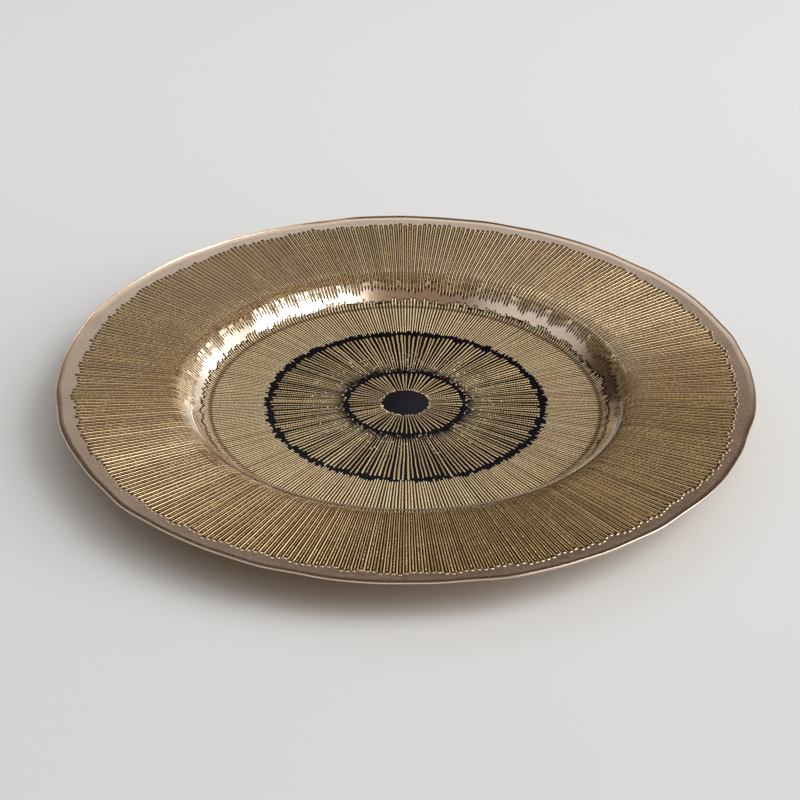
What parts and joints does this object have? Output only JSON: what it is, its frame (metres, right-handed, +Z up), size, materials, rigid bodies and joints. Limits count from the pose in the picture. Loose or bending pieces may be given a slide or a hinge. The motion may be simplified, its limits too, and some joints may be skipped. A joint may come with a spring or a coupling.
{
  "type": "glass platter",
  "caption": "Round glass charger platter with a flat well, wide ribbed gold rim and radial gold and black coats under the glass, for serving or setting a place.",
  "frame": {"origin": "centre of the base, on the surface that the platter stands on", "axes": "+Z up along the platter's axis; the platter is turned about it, so +X and +Y are any two directions across the rim"},
  "size_m": [0.33, 0.33, 0.0229],
  "materials": {
    "clear_glass": "clear, polished",
    "centre_black": "smooth black lacquer",
    "inner_spoke_gold": "metallic gold lacquer over black",
    "inner_ring_black": "black lacquer",
    "spoke_gold": "metallic gold lacquer over black",
    "outer_ring_black": "black lacquer",
    "well_gold": "metallic gold lacquer, finely ribbed",
    "slope_champagne": "smooth metallic champagne lacquer",
    "rim_gold": "metallic gold lacquer, ribbed and grainy",
    "margin_champagne": "smooth metallic champagne lacquer",
    "base_bronze": "protective bronze lacquer",
    "rim_bronze": "protective bronze lacquer"
  },
  "bodies": {
    "root": {"glass_plate": "clear_glass", "black_centre_disc": "centre_black", "inner_spoke_coat": "inner_spoke_gold", "inner_black_ring": "inner_ring_black", "spoke_gold_coat": "spoke_gold", "outer_black_ring": "outer_ring_black", "well_gold_coat": "well_gold", "slope_champagne_coat": "slope_champagne", "rim_gold_coat": "rim_gold", "edge_champagne_coat": "margin_champagne", "base_backing_coat": "base_bronze", "rim_backing_coat": "rim_bronze"}
  },
  "joints": []
}
